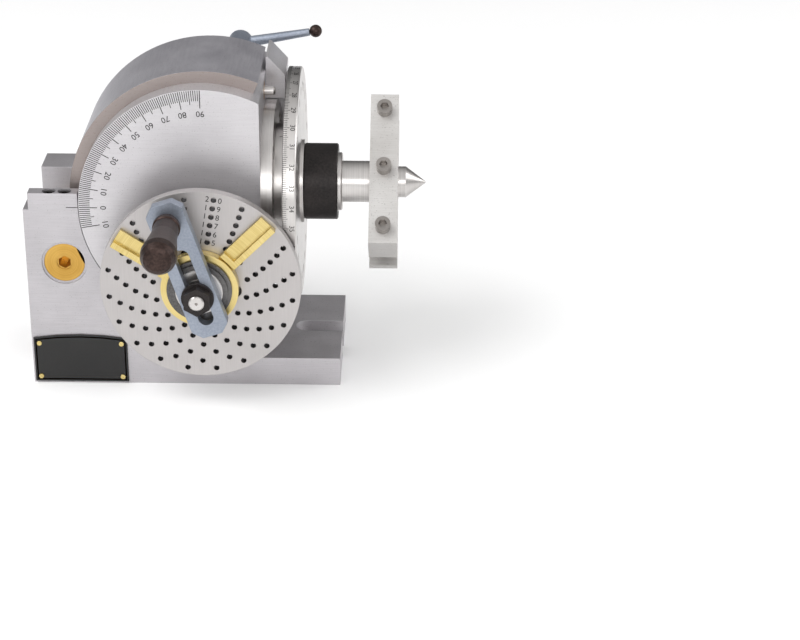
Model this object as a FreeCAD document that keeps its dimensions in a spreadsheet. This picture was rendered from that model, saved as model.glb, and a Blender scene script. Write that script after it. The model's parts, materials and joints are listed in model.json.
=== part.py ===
"""A tilting dividing head with a worm drive, an index plate and a direct index plate.

The origin lies on the underside of the base, below the point where the tilt axis
crosses the spindle axis.  +X points out of the spindle nose, +Z is up, and the index
plate faces -Y.  Lengths are millimetres.
"""
import FreeCAD, Part
import math
import os
import re
import Sketcher

doc = FreeCAD.newDocument("dividing_head")
sheet = doc.addObject("Spreadsheet::Sheet", "dims")

SIZES = (
    # base casting
    ("centre_height", 100, "underside of the base to the spindle axis"),
    ("base_length", 162, "end to end"),
    ("base_left", 92.6, "left end of the base to the tilt axis"),
    ("base_depth", 80, "front wall face to rear wall face"),
    ("foot_height", 15.5, "thickness of the floor and of the right foot"),
    ("wall_drop", 1.4, "spindle axis down to the top of the left walls"),
    ("wall_thick", 20, "front wall and rear wall"),
    ("cradle_right", 29, "right face of the cradle to the tilt axis"),
    ("channel_length", 30, "bolt channel between the left walls"),
    ("bolt_slot_width", 13, "hold-down slots"),
    ("bolt_slot_length", 25.4, "hold-down slots"),
    ("tenon_width", 14, "groove under the base"),
    ("tenon_depth", 3, "groove under the base"),
    ("tenon_length", 34, "groove under the base, from each end"),
    ("running_gap", 0.05, "radial clearance of turning fits"),
    ("side_gap", 0.3, "clearance beside moving faces"),
    # head casting
    ("disc_radius", 64, "graduated discs that turn in the cradle"),
    ("lip_width", 10.8, "cradle lips that carry the discs"),
    ("band_thick", 6, "hood band over the head"),
    ("flat_x", 29.4, "flat that carries the spindle nose"),
    ("wing_x", 39.5, "right face of the wing behind the nose"),
    ("wing_front", 12, "tilt plane to the front of the wing"),
    ("wing_drop", 30, "spindle axis down to the underside of the wing"),
    ("wing_slope_x", 30.7, "top end of the sloping edge of the wing"),
    ("wing_slope_rise", 64.1, "top end of the sloping edge of the wing"),
    ("wing_edge_rise", 54.4, "lower end of the sloping edge of the wing"),
    ("band_start_angle", 66, "degrees above the spindle axis"),
    ("band_sweep_angle", 184, "degrees"),
    ("drawbar_port", 12, "radius of the hole in the band"),
    # spindle
    ("wheel_room", 26, "radius of the bore for wheel and rear bush"),
    ("wheel_room_x", 8.5, "right end of that bore"),
    ("front_bush_radius", 25, "outer radius"),
    ("front_bush_x", 10, "left end of the front bush"),
    ("rear_bush_x", 10, "right end of the rear bush, left of the tilt axis"),
    ("rear_bush_end", 47, "left end of the rear bush"),
    ("journal_radius", 20, "front journal of the spindle"),
    ("rear_journal", 15, "radius of the rear journal"),
    ("shoulder_radius", 21.8, "seat of the direct index plate"),
    ("shoulder_end", 49.9, "right face of the shoulder"),
    ("nose_thread", 16, "radius of the nose thread"),
    ("nose_thread_end", 67.6, "right end of the nose thread"),
    ("nose_radius", 15.3, "end of the nose"),
    ("nose_end", 69.7, "face of the spindle nose"),
    ("spindle_tail", 60, "left end of the spindle"),
    ("drawbar_radius", 8.5, "through bore"),
    ("taper_end", 12, "left end of the taper bore"),
    ("taper_small", 9.3, "radius at the small end of the taper"),
    ("cover_thick", 6, "flange of the front cover"),
    ("cover_radius", 43, "flange of the front cover"),
    ("collar_radius", 30.4, "zero collar"),
    ("cover_screw_circle", 36, "radius"),
    ("washer_thick", 2.5, "thrust washer"),
    ("nut_thick", 4.5, "each bearing nut"),
    ("nut_radius", 21, "bearing nuts"),
    ("tail_thread", 13.5, "radius of the thread for the bearing nuts"),
    ("direct_x", 41.4, "left face of the direct index plate"),
    ("direct_thick", 7, "direct index plate"),
    ("direct_radius", 60, "direct index plate"),
    ("direct_circle", 50, "radius of its hole circle"),
    ("direct_holes", 24, "holes in the direct index plate"),
    ("protector_radius", 20, "thread protector"),
    ("protector_end", 67.5, "right end of the thread protector"),
    ("centre_radius", 10.9, "shaft of the centre"),
    ("cone_radius", 8.2, "root of the cone"),
    ("cone_root", 103, "left end of the cone"),
    ("centre_tip", 113.4, "tip of the centre"),
    ("tip_radius", 0.4, "blunted tip of the centre"),
    # driving dog
    ("dog_x", 84.2, "left face of the driving dog"),
    ("dog_width", 14.8, "along the spindle"),
    ("dog_length", 84, "end to end"),
    ("dog_thick", 36, "front face to back face"),
    ("dog_turn", 45, "degrees that the top leans back"),
    ("dog_slot_width", 12, "slot for a carrier tail"),
    ("dog_slot_length", 19, "slot for a carrier tail"),
    ("dog_rear_leg", 4, "thin leg behind the slot"),
    ("dog_screw_pitch", 33, "outer screws to the spindle axis"),
    ("dog_screw_radius", 2.5, "shank"),
    ("dog_screw_past", 4, "end of an outer screw beyond the front wall of its slot"),
    ("dog_head_radius", 4, "head"),
    ("dog_head_height", 5, "head"),
    # worm and wheel
    ("worm_drop", 31, "centre distance of worm and wheel"),
    ("gear_module", 1.125, "axial module of the worm"),
    ("wheel_teeth", 40, "teeth of the worm wheel"),
    ("wheel_width", 14, "face width"),
    ("wheel_bore", 17, "seat of the worm wheel"),
    ("backlash", 0.3, "each side of a tooth"),
    ("worm_length", 18, "threaded length"),
    ("worm_room", 11, "radius of the worm bore"),
    ("worm_journal", 7, "front and rear journals of the worm shaft"),
    ("worm_front", 14, "tilt plane to the worm sleeve"),
    ("worm_rear", 14, "tilt plane to the worm rear bush"),
    ("plug_space", 3, "end of that bush to the end plug"),
    ("end_plug_thick", 6, "plug behind the worm shaft"),
    ("sleeve_radius", 12, "worm sleeve"),
    ("sleeve_flange", 24, "radius of the flange behind the index plate"),
    ("key_width", 5, "wheel key"),
    ("key_height", 5, "wheel key"),
    # index plate and sector arms
    ("flange_length", 21, "front disc to the back of the index plate"),
    ("plate_thick", 5, "index plate"),
    ("plate_radius", 51, "index plate"),
    ("plate_turn", 9.7, "degrees that the first holes lean to the right"),
    ("outer_circle", 47.1, "radius of the circle with most holes"),
    ("circle_step", 4.62, "from circle to circle"),
    ("circle_count", 6, "hole circles"),
    ("most_holes", 20, "holes in the outer circle"),
    ("hole_radius", 1.43, "index holes"),
    ("plate_screw_circle", 17.5, "radius"),
    ("plate_screw_radius", 2, "shank"),
    ("plate_screw_head", 3.4, "head"),
    ("ring_radius", 19.7, "hubs of the sector arms"),
    ("ring_thick", 2.6, "hubs of the sector arms"),
    ("sector_thick", 3.9, "sector arms over the plate"),
    ("sector_reach", 49.4, "worm axis to the end of a sector arm"),
    ("sector_width", 10, "sector arm"),
    ("sector_ledge", 3.2, "thick ledge of a sector arm"),
    ("sector_right_angle", 45.3, "degrees right of the upright"),
    ("sector_left_angle", 57.4, "degrees left of the upright"),
    ("spring_thick", 1, "wave spring"),
    ("snap_thick", 1.1, "retaining ring"),
    # crank
    ("crank_gap", 9.2, "index plate to the crank arm"),
    ("crank_thick", 6, "crank arm"),
    ("crank_width", 19.1, "crank arm"),
    ("crank_reach", 52.5, "worm axis to the handle end"),
    ("crank_tail", 22, "worm axis to the short end"),
    ("crank_corner", 4.5, "cut corners of the crank arm"),
    ("crank_turn", 18.4, "degrees that the crank leans to the left"),
    ("crank_slot", 7.8, "width of the slot"),
    ("crank_slot_up", 27, "worm axis to the upper end of the slot"),
    ("crank_slot_down", 15.7, "worm axis to the lower end of the slot"),
    ("washer_radius", 8.2, "crank washer"),
    ("crank_washer_thick", 1.6, "crank washer"),
    ("nut_across", 13, "crank nut across flats"),
    ("crank_nut_thick", 5, "crank nut"),
    ("stud_radius", 3.9, "threaded end of the worm shaft"),
    ("stud_length", 13.8, "threaded end of the worm shaft"),
    # handle and plunger
    ("handle_radius_at", 42.5, "worm axis to the handle axis"),
    ("plunger_neck", 5, "outer radius of the plunger sleeve"),
    ("plunger_flange", 7, "radius of the collar behind the crank arm"),
    ("plunger_bore", 3.05, "lower bore of the sleeve"),
    ("spring_wire", 0.4, "radius of the spring's wire"),
    ("spring_room", 4.2, "upper bore of the sleeve"),
    ("sleeve_floor", 2.8, "crank arm to the floor of the spring room"),
    ("sleeve_reach", 15.8, "crank arm to the end of the sleeve"),
    ("cap_thick", 1.5, "sleeve cap and collar of the pin"),
    ("pin_tip_radius", 1.35, "end of the plunger pin"),
    ("pin_travel", 4.4, "from latched to the face of the plate"),
    ("handle_gap", 4.8, "crank arm to the handle"),
    ("handle_length", 42.5, "handle"),
    ("handle_cap", 8, "solid end of the handle"),
    ("handle_neck", 6.3, "slim end of the handle"),
    ("handle_bulb", 9, "thick end of the handle"),
    # direct index pin and its lever
    ("pin_rise", 50, "spindle axis to the direct index pin"),
    ("pin_radius", 2.35, "tip of the direct index pin"),
    ("rack_radius", 5, "body of the direct index pin"),
    ("rack_pitch", 1.2, "pin axis to the pitch line of the rack"),
    ("rack_start", 1, "left end of the rack body"),
    ("rack_end", 16.5, "right end of the rack body"),
    ("pin_tip_x", 35.3, "tip of the direct index pin, drawn back"),
    ("pinion_module", 1, "pinion and rack"),
    ("pinion_teeth", 9, "pinion"),
    ("pinion_x", 12.5, "lever shaft to the tilt axis"),
    ("pinion_backlash", 0.3, "each side of a tooth"),
    ("lever_shaft", 4.4, "radius"),
    ("lever_hub_radius", 6.5, "hub of the lever"),
    ("lever_gap", 4, "head to the near face of the hub"),
    ("lever_hub_length", 21, "hub of the lever"),
    ("lever_inset", 5, "lever axis to the far face of the hub"),
    ("lever_length", 38, "lever shaft to the ball"),
    ("lever_angle", 10, "degrees above level"),
    ("lever_root", 2.9, "radius of the lever at the hub"),
    ("lever_end", 2.0, "radius of the lever at the ball"),
    ("ball_radius", 3.4, "ball of the lever"),
    # pieces on the base
    ("block_left", 89.8, "left end of the zero block to the tilt axis"),
    ("block_length", 25.5, "zero block"),
    ("block_height", 9, "zero block"),
    ("block_depth", 7.3, "zero block"),
    ("block_screw_inset", 10.6, "left end of the block to the first screw"),
    ("block_screw_pitch", 8, "screw to screw"),
    ("block_screw_head", 3.2, "screw heads"),
    ("clamp_left", 73, "clamp bushes to the tilt axis"),
    ("clamp_drop", 31.2, "spindle axis down to the clamp bushes"),
    ("clamp_radius", 10.5, "clamp bushes"),
    ("clamp_mouth", 11.7, "mouth of the bush bore"),
    ("clamp_bolt_radius", 4, "clamp bolt"),
    ("clamp_inner", 13, "tilt plane to the inner end of a bush"),
    ("socket_across", 6, "hexagon socket of the clamp bolt"),
    ("plate_left", 91.7, "left edge of the name plate to the tilt axis"),
    ("name_length", 49.2, "name plate"),
    ("name_height", 27.2, "name plate"),
    ("name_rise", 1, "underside of the base to the name plate"),
    ("name_thick", 0.8, "name plate"),
    ("rivet_inset", 3, "name plate corners"),
    ("rivet_radius", 1.3, "rivets"),
)

# Lengths that follow from the sizes.
DERIVED = {
    "wall_top": "centre_height - wall_drop",
    "clamp_height": "centre_height - clamp_drop",
    "worm_height": "centre_height - worm_drop",
    "base_right": "base_length - base_left",
    "worm_rear_end": "base_depth / 2 - end_plug_thick - plug_space",
    "plate_back": "base_depth / 2 + flange_length",
    "plate_front": "plate_back + plate_thick",
    "sector_low": "plate_front + side_gap",
    "crank_back": "plate_front + crank_gap",
    "crank_front": "crank_back + crank_thick",
    "stud_end": "crank_back + stud_length",
    "spring_floor": "crank_front + sleeve_floor",
    "sleeve_top": "crank_front + sleeve_reach",
    "handle_base": "crank_front + handle_gap",
    "handle_end": "handle_base + handle_length",
    "cover_front": "flat_x + cover_thick",
    "direct_end": "direct_x + direct_thick",
    "dog_end": "dog_x + dog_width",
    "wheel_pitch": "gear_module * wheel_teeth / 2",
    "worm_pitch": "worm_drop - wheel_pitch",
    "pinion_pitch": "pinion_module * pinion_teeth / 2",
    "pinion_height": "centre_height + pin_rise + rack_pitch + pinion_pitch",
    "lever_hub_start": "base_depth / 2 + lever_gap",
    "lever_hub_end": "lever_hub_start + lever_hub_length",
    "lever_plane": "lever_hub_end - lever_inset",
}

for row, (alias, value, note) in enumerate(SIZES, 1):
    sheet.set(f"A{row}", alias)
    sheet.set(f"B{row}", str(value))
    sheet.setAlias(f"B{row}", alias)
    sheet.set(f"C{row}", note)
doc.recompute()

V = FreeCAD.Vector
UPRIGHT = FreeCAD.Rotation()
# Front frame: local Z runs from the tilt plane towards the crank.
FRONT = FreeCAD.Rotation(V(1, 0, 0), 90)
# Spindle frame: local Z runs along the spindle towards its nose.
AXIAL = FreeCAD.Rotation(V(0, 1, 0), 90)
pieces = []


def formula(text):
    """Return the expression in the sheet's sizes, with derived lengths written out."""
    words = r"\b(?!pi\b)([a-z][a-z_0-9]*)\b(?!\()"

    def spell(found):
        name = found.group(1)
        return f"({formula(DERIVED[name])})" if name in DERIVED else f"dims.{name}"

    return re.sub(words, spell, str(text))


def number(text):
    """Return the present value of an expression on the sheet's sizes."""
    return float(sheet.evalExpression(formula(text)))


def bind(item, **texts):
    """Tie properties of an object to the sheet."""
    for prop, text in texts.items():
        item.setExpression(prop.replace("_", "."), formula(text))


def place(item, frame=UPRIGHT, x="0", y="0", z="0"):
    """Turn an object into one of the frames and tie its origin to the sheet."""
    item.Placement = FreeCAD.Placement(V(number(x), number(y), number(z)), frame)
    bind(item, Placement_Base_x=x, Placement_Base_y=y, Placement_Base_z=z)


def new_body(label, frame=UPRIGHT, x="0", y="0", z="0"):
    """Start one sub-part as a body of its own."""
    body = doc.addObject("PartDesign::Body", label)
    body.Label = label
    place(body, frame, x, y, z)
    pieces.append(body)
    return body


def sketch(body, plane="XY", lift="0"):
    """Put a sketch on a plane of the body's own origin, lifted along its normal."""
    support = [o for o in body.Origin.OriginFeatures if o.Role == plane + "_Plane"][0]
    drawing = body.newObject("Sketcher::SketchObject", body.Label + "_sketch")
    drawing.AttachmentSupport = (support, [""])
    drawing.MapMode = "FlatFace"
    bind(drawing, AttachmentOffset_Base_z=lift)
    return drawing


def pin_point(drawing, geometry, point, across, up):
    """Hold one point of a sketch at a distance from the sketch's origin."""
    for kind, text in (("DistanceX", across), ("DistanceY", up)):
        rule = Sketcher.Constraint(kind, -1, 1, geometry, point, number(text))
        index = drawing.addConstraint(rule)
        drawing.setExpression(f"Constraints[{index}]", formula(text))


def polygon(drawing, *corners):
    """Draw a closed outline of straight lines through corners given as expressions."""
    first = drawing.GeometryCount
    spots = [V(number(across), number(up), 0) for across, up in corners]
    count = len(spots)
    lines = [Part.LineSegment(spots[i], spots[(i + 1) % count]) for i in range(count)]
    drawing.addGeometry(lines, False)
    for i in range(count):
        follower = first + (i + 1) % count
        drawing.addConstraint(Sketcher.Constraint("Coincident", first + i, 2, follower, 1))
    for i, (across, up) in enumerate(corners):
        pin_point(drawing, first + i, 1, across, up)
    return drawing


def rectangle(drawing, left, right, low, high):
    """Draw a rectangle between two pairs of limits."""
    return polygon(drawing, (left, low), (right, low), (right, high), (left, high))


def circle(drawing, radius, across="0", up="0"):
    """Draw a circle."""
    centre = V(number(across), number(up), 0)
    index = drawing.addGeometry(Part.Circle(centre, V(0, 0, 1), number(radius)), False)
    pin_point(drawing, index, 3, across, up)
    rule = Sketcher.Constraint("Radius", index, number(radius))
    drawing.setExpression(f"Constraints[{drawing.addConstraint(rule)}]", formula(radius))
    return drawing


def hexagon(drawing, across_flats, x="0", y="0"):
    """Draw a hexagon with two upright flats."""
    corners = []
    for k in range(6):
        angle = 60 * k + 30
        reach = f"({across_flats}) / sqrt(3)"
        corners.append((f"{x} + {reach} * cos({angle})", f"{y} + {reach} * sin({angle})"))
    return polygon(drawing, *corners)


def feature(body, kind, drawing, **texts):
    """Add a sketch-based feature and tie its sizes."""
    item = body.newObject("PartDesign::" + kind, body.Label + "_" + kind.lower())
    item.Profile = drawing
    bind(item, **texts)
    doc.recompute()
    return item


def pad(body, drawing, length):
    """Add material from the sketch along its normal."""
    return feature(body, "Pad", drawing, Length=length)


def pocket(body, drawing, length, along_normal=False):
    """Cut from the sketch, normally against its normal, and check that it cut."""
    before = body.Shape.Volume
    item = feature(body, "Pocket", drawing, Length=length)
    if along_normal:
        item.Reversed = True
        doc.recompute()
    if not body.Shape.Volume < before - 1e-6:
        raise RuntimeError(f"{body.Label}: a pocket cut nothing")
    return item


def turned(label, frame, rings, x="0", y="0", z="0"):
    """Make a turned piece from (radius, distance along the axis) corners."""
    body = new_body(label, frame, x, y, z)
    spin(body, rings)
    return body


def spin(body, rings, kind="Revolution"):
    """Turn a profile of (radius, distance) corners about the body's local Z axis."""
    drawing = polygon(sketch(body, "XZ"), *rings)
    item = body.newObject("PartDesign::" + kind, body.Label + "_" + kind.lower())
    item.Profile = drawing
    item.ReferenceAxis = (drawing, ["V_Axis"])
    doc.recompute()
    return item


def ring(label, frame, inner, outer, start, end, x="0", y="0", z="0"):
    """Make a plain bush, washer or collar."""
    rings = ((inner, start), (outer, start), (outer, end), (inner, end))
    return turned(label, frame, rings, x, y, z)


def polar(body, features, drawing, count):
    """Repeat features about the normal of their sketch."""
    pattern = body.newObject("PartDesign::PolarPattern", body.Label + "_pattern")
    pattern.Originals = list(features)
    pattern.Axis = (drawing, ["N_Axis"])
    pattern.Angle = 360
    bind(pattern, Occurrences=count)
    body.Tip = pattern
    doc.recompute()
    return pattern


def linear(body, features, drawing, axis, length, count):
    """Repeat features in a row along an axis of their sketch."""
    pattern = body.newObject("PartDesign::LinearPattern", body.Label + "_row")
    pattern.Originals = list(features)
    pattern.Direction = (drawing, [axis])
    bind(pattern, Length=length)
    pattern.Occurrences = count
    body.Tip = pattern
    doc.recompute()
    return pattern


# ---------------------------------------------------------------- base group
def base_casting():
    """A floor with two cradle walls, an end slot on each side and a groove below."""
    body = new_body("base_casting", FRONT)
    right = "base_right"
    outline = polygon(
        sketch(body, lift="-base_depth / 2"),
        ("-base_left", "0"),
        (right, "0"),
        (right, "foot_height"),
        ("cradle_right", "foot_height"),
        ("cradle_right", "centre_height - disc_radius / 2"),
        ("-cradle_right", "wall_top"),
        ("-base_left", "wall_top"),
    )
    pad(body, outline, "base_depth")
    bore = circle(sketch(body, lift="base_depth / 2"), "disc_radius + side_gap",
                  "0", "centre_height")
    pocket(body, bore, "base_depth")
    recess = circle(sketch(body, lift="base_depth / 2 - lip_width"),
                    "disc_radius + band_thick + side_gap", "0", "centre_height")
    pocket(body, recess, "base_depth - 2 * lip_width")
    channel = rectangle(sketch(body, lift="base_depth / 2 - wall_thick"),
                        "-base_left - 1", "channel_length - base_left",
                        "foot_height", "wall_top + 1")
    pocket(body, channel, "base_depth - 2 * wall_thick")
    clamp_bore = circle(sketch(body, lift="base_depth / 2"), "clamp_radius + running_gap",
                        "-clamp_left", "clamp_height")
    pocket(body, clamp_bore, "base_depth")
    mouth = circle(sketch(body, lift="base_depth / 2"), "clamp_mouth",
                   "-clamp_left", "clamp_height")
    pocket(body, mouth, "1")
    # Seen from below, the sketch plane's second axis is the front frame's Z axis.
    half = "bolt_slot_width / 2"
    straight = "bolt_slot_length - bolt_slot_width / 2"
    for end, sign in (("-base_left", "+"), (right, "-")):
        opposite = "-" if sign == "+" else "+"
        inner = f"{end} {sign} ({straight})"
        sides = (f"{end} {opposite} 1", inner) if sign == "+" else (inner, f"{end} {opposite} 1")
        open_part = rectangle(sketch(body, "XZ", "1"), *sides, f"-{half}", half)
        pocket(body, open_part, "foot_height + 2")
        pocket(body, circle(sketch(body, "XZ", "1"), half, inner, "0"), "foot_height + 2")
    for low, high in (("-base_left - 1", "-base_left + tenon_length"),
                      (f"{right} - tenon_length", f"{right} + 1")):
        groove = rectangle(sketch(body, "XZ", "1"), low, high,
                           "-tenon_width / 2", "tenon_width / 2")
        pocket(body, groove, "tenon_depth + 1")
    return body


def zero_index_block():
    """A block on the left wall that carries the zero line for the tilt scale."""
    body = new_body("zero_index_block", FRONT)
    right = "block_length - block_left"
    outline = rectangle(sketch(body, lift="base_depth / 2 - block_depth"),
                        "-block_left", right, "wall_top", "wall_top + block_height")
    pad(body, outline, "block_depth")
    # The XZ plane's normal points down in the front frame.
    for radius, depth in (("block_screw_head / 2", "block_height"),
                          ("block_screw_head + side_gap", "block_height / 2")):
        holes = sketch(body, "XZ", "-(wall_top + block_height)")
        for along in ("0", "block_screw_pitch"):
            circle(holes, radius, f"block_screw_inset + {along} - block_left",
                   "base_depth / 2 - block_depth / 2")
        pocket(body, holes, depth, along_normal=True)
    return body


def zero_block_screws():
    """Two socket screws that hold the zero block."""
    body = new_body("zero_block_screws", UPRIGHT, "block_screw_inset - block_left",
                    "block_depth / 2 - base_depth / 2", "wall_top")
    seat = "block_height / 2"
    spin(body, (("0", "0"), ("block_screw_head / 2", "0"), ("block_screw_head / 2", seat),
                ("block_screw_head", seat), ("block_screw_head", "block_height - 1"),
                ("0", "block_height - 1")))
    first = body.Tip
    head = hexagon(sketch(body, lift="block_height - 1"), "block_screw_head")
    cut = pocket(body, head, "block_screw_head * 0.7")
    linear(body, (first, cut), head, "H_Axis", "block_screw_pitch", 2)
    return body


def name_plate():
    """A bare plate with a curved upper edge."""
    body = new_body("name_plate", FRONT)
    left = "-plate_left"
    right = "name_length - plate_left"
    top = "name_rise + name_height"
    outline = polygon(sketch(body, lift="base_depth / 2"),
                      (left, "name_rise"), (right, "name_rise"), (right, f"{top} - 2"),
                      ("name_length * 0.75 - plate_left", f"{top} - 0.5"),
                      ("name_length / 2 - plate_left", top),
                      ("name_length / 4 - plate_left", f"{top} - 0.5"),
                      (left, f"{top} - 2"))
    pad(body, outline, "name_thick")
    return body


def name_plate_rivets():
    """Four rivets at the corners of the plate."""
    body = new_body("name_plate_rivets", FRONT)
    heads = sketch(body, lift="base_depth / 2 + name_thick")
    for along in ("rivet_inset", "name_length - rivet_inset"):
        for up in ("rivet_inset", "name_height - rivet_inset - 2"):
            circle(heads, "rivet_radius", f"{along} - plate_left", f"name_rise + {up}")
    pad(body, heads, "rivet_radius / 2")
    return body


def clamp_bush(label, sign):
    """A brass bush cut to the curve of the head, which it grips when drawn inwards."""
    body = new_body(label, FRONT)
    outer = "base_depth / 2 - 1.2"
    length = f"{outer} - clamp_inner"
    lift = "clamp_inner" if sign > 0 else f"-({outer})"
    pad(body, circle(sketch(body, lift=lift), "clamp_radius", "-clamp_left",
                     "clamp_height"), length)
    top = outer if sign > 0 else "-clamp_inner"
    bolt = circle(sketch(body, lift=top), "clamp_bolt_radius", "-clamp_left", "clamp_height")
    pocket(body, bolt, length)
    relief = circle(sketch(body, lift=top), "disc_radius + band_thick + side_gap",
                    "0", "centre_height")
    pocket(body, relief, length)
    return body


def clamp_bolt():
    """The bolt through both bushes, with a hexagon socket at its front end."""
    body = new_body("clamp_bolt", FRONT, "-clamp_left", "0", "clamp_height")
    end = "base_depth / 2 - 1.6"
    pad(body, circle(sketch(body, lift=f"-({end})"), "clamp_bolt_radius"), f"2 * ({end})")
    socket = hexagon(sketch(body, lift=end), "socket_across")
    pocket(body, socket, "clamp_bolt_radius * 2")
    return body


# ---------------------------------------------------------------- head group
def head_casting():
    """Two discs joined by a solid middle, with bores for the spindle and the worm."""
    body = new_body("head_casting", FRONT)
    front = "base_depth / 2"
    pad(body, circle(sketch(body, lift=f"-{front}"), "disc_radius", "0", "centre_height"),
        "base_depth")
    side = rectangle(sketch(body, lift=front), "flat_x", "disc_radius + 1",
                     "centre_height - disc_radius", "centre_height + disc_radius")
    pocket(body, side, "base_depth")
    low = "centre_height - wing_drop"
    wing = polygon(sketch(body, lift=f"-{front}"), ("flat_x - 1", low), ("wing_x", low),
                   ("wing_x", "centre_height + wing_edge_rise"),
                   ("wing_slope_x", "centre_height + wing_slope_rise"),
                   ("flat_x + 0.1", "centre_height + wing_slope_rise"),
                   ("flat_x + 0.1", "centre_height + wing_edge_rise"),
                   ("flat_x - 1", "centre_height + wing_edge_rise - 2"))
    pad(body, wing, f"{front} - wing_front")

    # The YZ plane of the front frame looks along the spindle.
    def spindle_bore(radius, right, length, rise="0"):
        hole = circle(sketch(body, "YZ", right), radius, f"centre_height + {rise}", "0")
        pocket(body, hole, length)

    spindle_bore("cover_radius + side_gap", "wing_x", "wing_x - flat_x")
    spindle_bore("wheel_room", "wheel_room_x", "wheel_room_x + disc_radius + 1")
    spindle_bore("journal_radius + 1", "front_bush_x", "front_bush_x")
    spindle_bore("front_bush_radius", "flat_x", "flat_x - front_bush_x")
    spindle_bore("rack_radius + running_gap", "flat_x", "flat_x - rack_start + side_gap",
                 "pin_rise")

    def worm_bore(radius, start, length):
        hole = circle(sketch(body, lift=start), radius, "0", "worm_height")
        pocket(body, hole, length)

    worm_bore("worm_room", "worm_front", f"worm_front + {front}")
    worm_bore("sleeve_radius", front, f"{front} - worm_front")
    inner = "rack_radius + 2 * side_gap"
    shaft = circle(sketch(body, lift=inner), "lever_shaft + running_gap",
                   "pinion_x", "pinion_height")
    pocket(body, shaft, f"{inner} + {front}")
    tooth_room = circle(sketch(body, lift=inner), "pinion_module * (pinion_teeth / 2 + 1)",
                        "pinion_x", "pinion_height")
    pocket(body, tooth_room, f"2 * ({inner})")
    return body


def hood_band():
    """A curved band that covers the head between its discs and turns with it."""
    body = new_body("hood_band", FRONT, "0", "0", "centre_height")
    outer = "disc_radius + band_thick"
    low = "-(base_depth / 2 - lip_width - side_gap)"
    outline = sketch(body, lift=low)
    circle(outline, outer)
    circle(outline, "disc_radius")
    width = "base_depth - 2 * lip_width - 2 * side_gap"
    pad(body, outline, width)
    top = "base_depth / 2 - lip_width - side_gap"
    start = "band_start_angle"
    end = "band_start_angle + band_sweep_angle"
    reach = "2 * disc_radius"
    middle = "(band_start_angle + band_sweep_angle + band_start_angle + 360) / 2"
    gap = polygon(
        sketch(body, lift=top), ("0", "0"),
        (f"{reach} * cos({end})", f"{reach} * sin({end})"),
        (f"{reach} * cos(({end} + {middle}) / 2)", f"{reach} * sin(({end} + {middle}) / 2)"),
        (f"{reach} * cos({middle})", f"{reach} * sin({middle})"),
        (f"{reach} * cos(({start} + 360 + {middle}) / 2)",
         f"{reach} * sin(({start} + 360 + {middle}) / 2)"),
        (f"{reach} * cos({start})", f"{reach} * sin({start})"),
    )
    pocket(body, gap, width)
    port = circle(sketch(body, "YZ", "-disc_radius / 2"), "drawbar_port")
    pocket(body, port, "disc_radius")
    return body


def front_cover():
    """A flange on the flat with a collar that carries the zero line."""
    end = "direct_x - side_gap"
    inner = "shoulder_radius + side_gap"
    body = turned("front_cover", AXIAL, (
        (inner, "flat_x"), ("cover_radius", "flat_x"),
        ("cover_radius", "cover_front"),
        ("collar_radius", "cover_front"), ("collar_radius", end), (inner, end),
    ), z="centre_height")
    holes = sketch(body, lift="cover_front")
    circle(holes, "plate_screw_radius", "cover_screw_circle * cos(45)",
           "cover_screw_circle * sin(45)")
    cut = pocket(body, holes, "cover_thick")
    heads = sketch(body, lift="cover_front")
    circle(heads, "plate_screw_head + side_gap", "cover_screw_circle * cos(45)",
           "cover_screw_circle * sin(45)")
    sink = pocket(body, heads, "cover_thick / 2")
    polar(body, (cut, sink), heads, "4")
    return body


def screw_ring(label, frame, z, circle_radius, count, first_angle, seat, head_top, tip):
    """Socket screws on a circle, as one node of separate solids."""
    body = new_body(label, frame, z=z)
    x = f"{circle_radius} * cos({first_angle})"
    y = f"{circle_radius} * sin({first_angle})"
    shank_sketch = circle(sketch(body, lift=tip), "plate_screw_radius", x, y)
    shank = pad(body, shank_sketch, f"{seat} - ({tip})")
    head = pad(body, circle(sketch(body, lift=seat), "plate_screw_head", x, y),
               f"{head_top} - ({seat})")
    socket_sketch = hexagon(sketch(body, lift=head_top), "plate_screw_head", x, y)
    socket = pocket(body, socket_sketch, f"({head_top} - ({seat})) * 0.7")
    polar(body, (shank, head, socket), socket_sketch, count)
    return body


def front_bearing_bush():
    return ring("front_bearing_bush", AXIAL, "journal_radius + running_gap",
                "front_bush_radius", "front_bush_x", "flat_x", z="centre_height")


def rear_bearing_bush():
    return ring("rear_bearing_bush", AXIAL, "rear_journal + running_gap", "wheel_room",
                "-rear_bush_end", "-rear_bush_x", z="centre_height")


def worm_sleeve():
    """The bush of the worm shaft; its flange and nose carry plate and sector arms."""
    inner = "worm_journal + running_gap"
    nose = f"plate_front + side_gap + 2 * (ring_thick + side_gap) + spring_thick + snap_thick"
    groove = f"{nose} - snap_thick"
    end = f"{nose} + 0.6"
    return turned("worm_sleeve", FRONT, (
        (inner, "worm_front"), ("sleeve_radius", "worm_front"),
        ("sleeve_radius", "base_depth / 2"), ("sleeve_flange", "base_depth / 2"),
        ("sleeve_flange", "plate_back"), ("sleeve_radius", "plate_back"),
        ("sleeve_radius", groove), ("sleeve_radius - 1", groove),
        ("sleeve_radius - 1", nose), ("sleeve_radius", nose),
        ("sleeve_radius", f"{end} - 0.3"), ("sleeve_radius - 0.3", end), (inner, end),
    ), z="worm_height")


def worm_rear_bush():
    return ring("worm_rear_bush", FRONT, "worm_journal + running_gap", "worm_room",
                "-worm_rear_end", "-worm_rear", z="worm_height")


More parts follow.
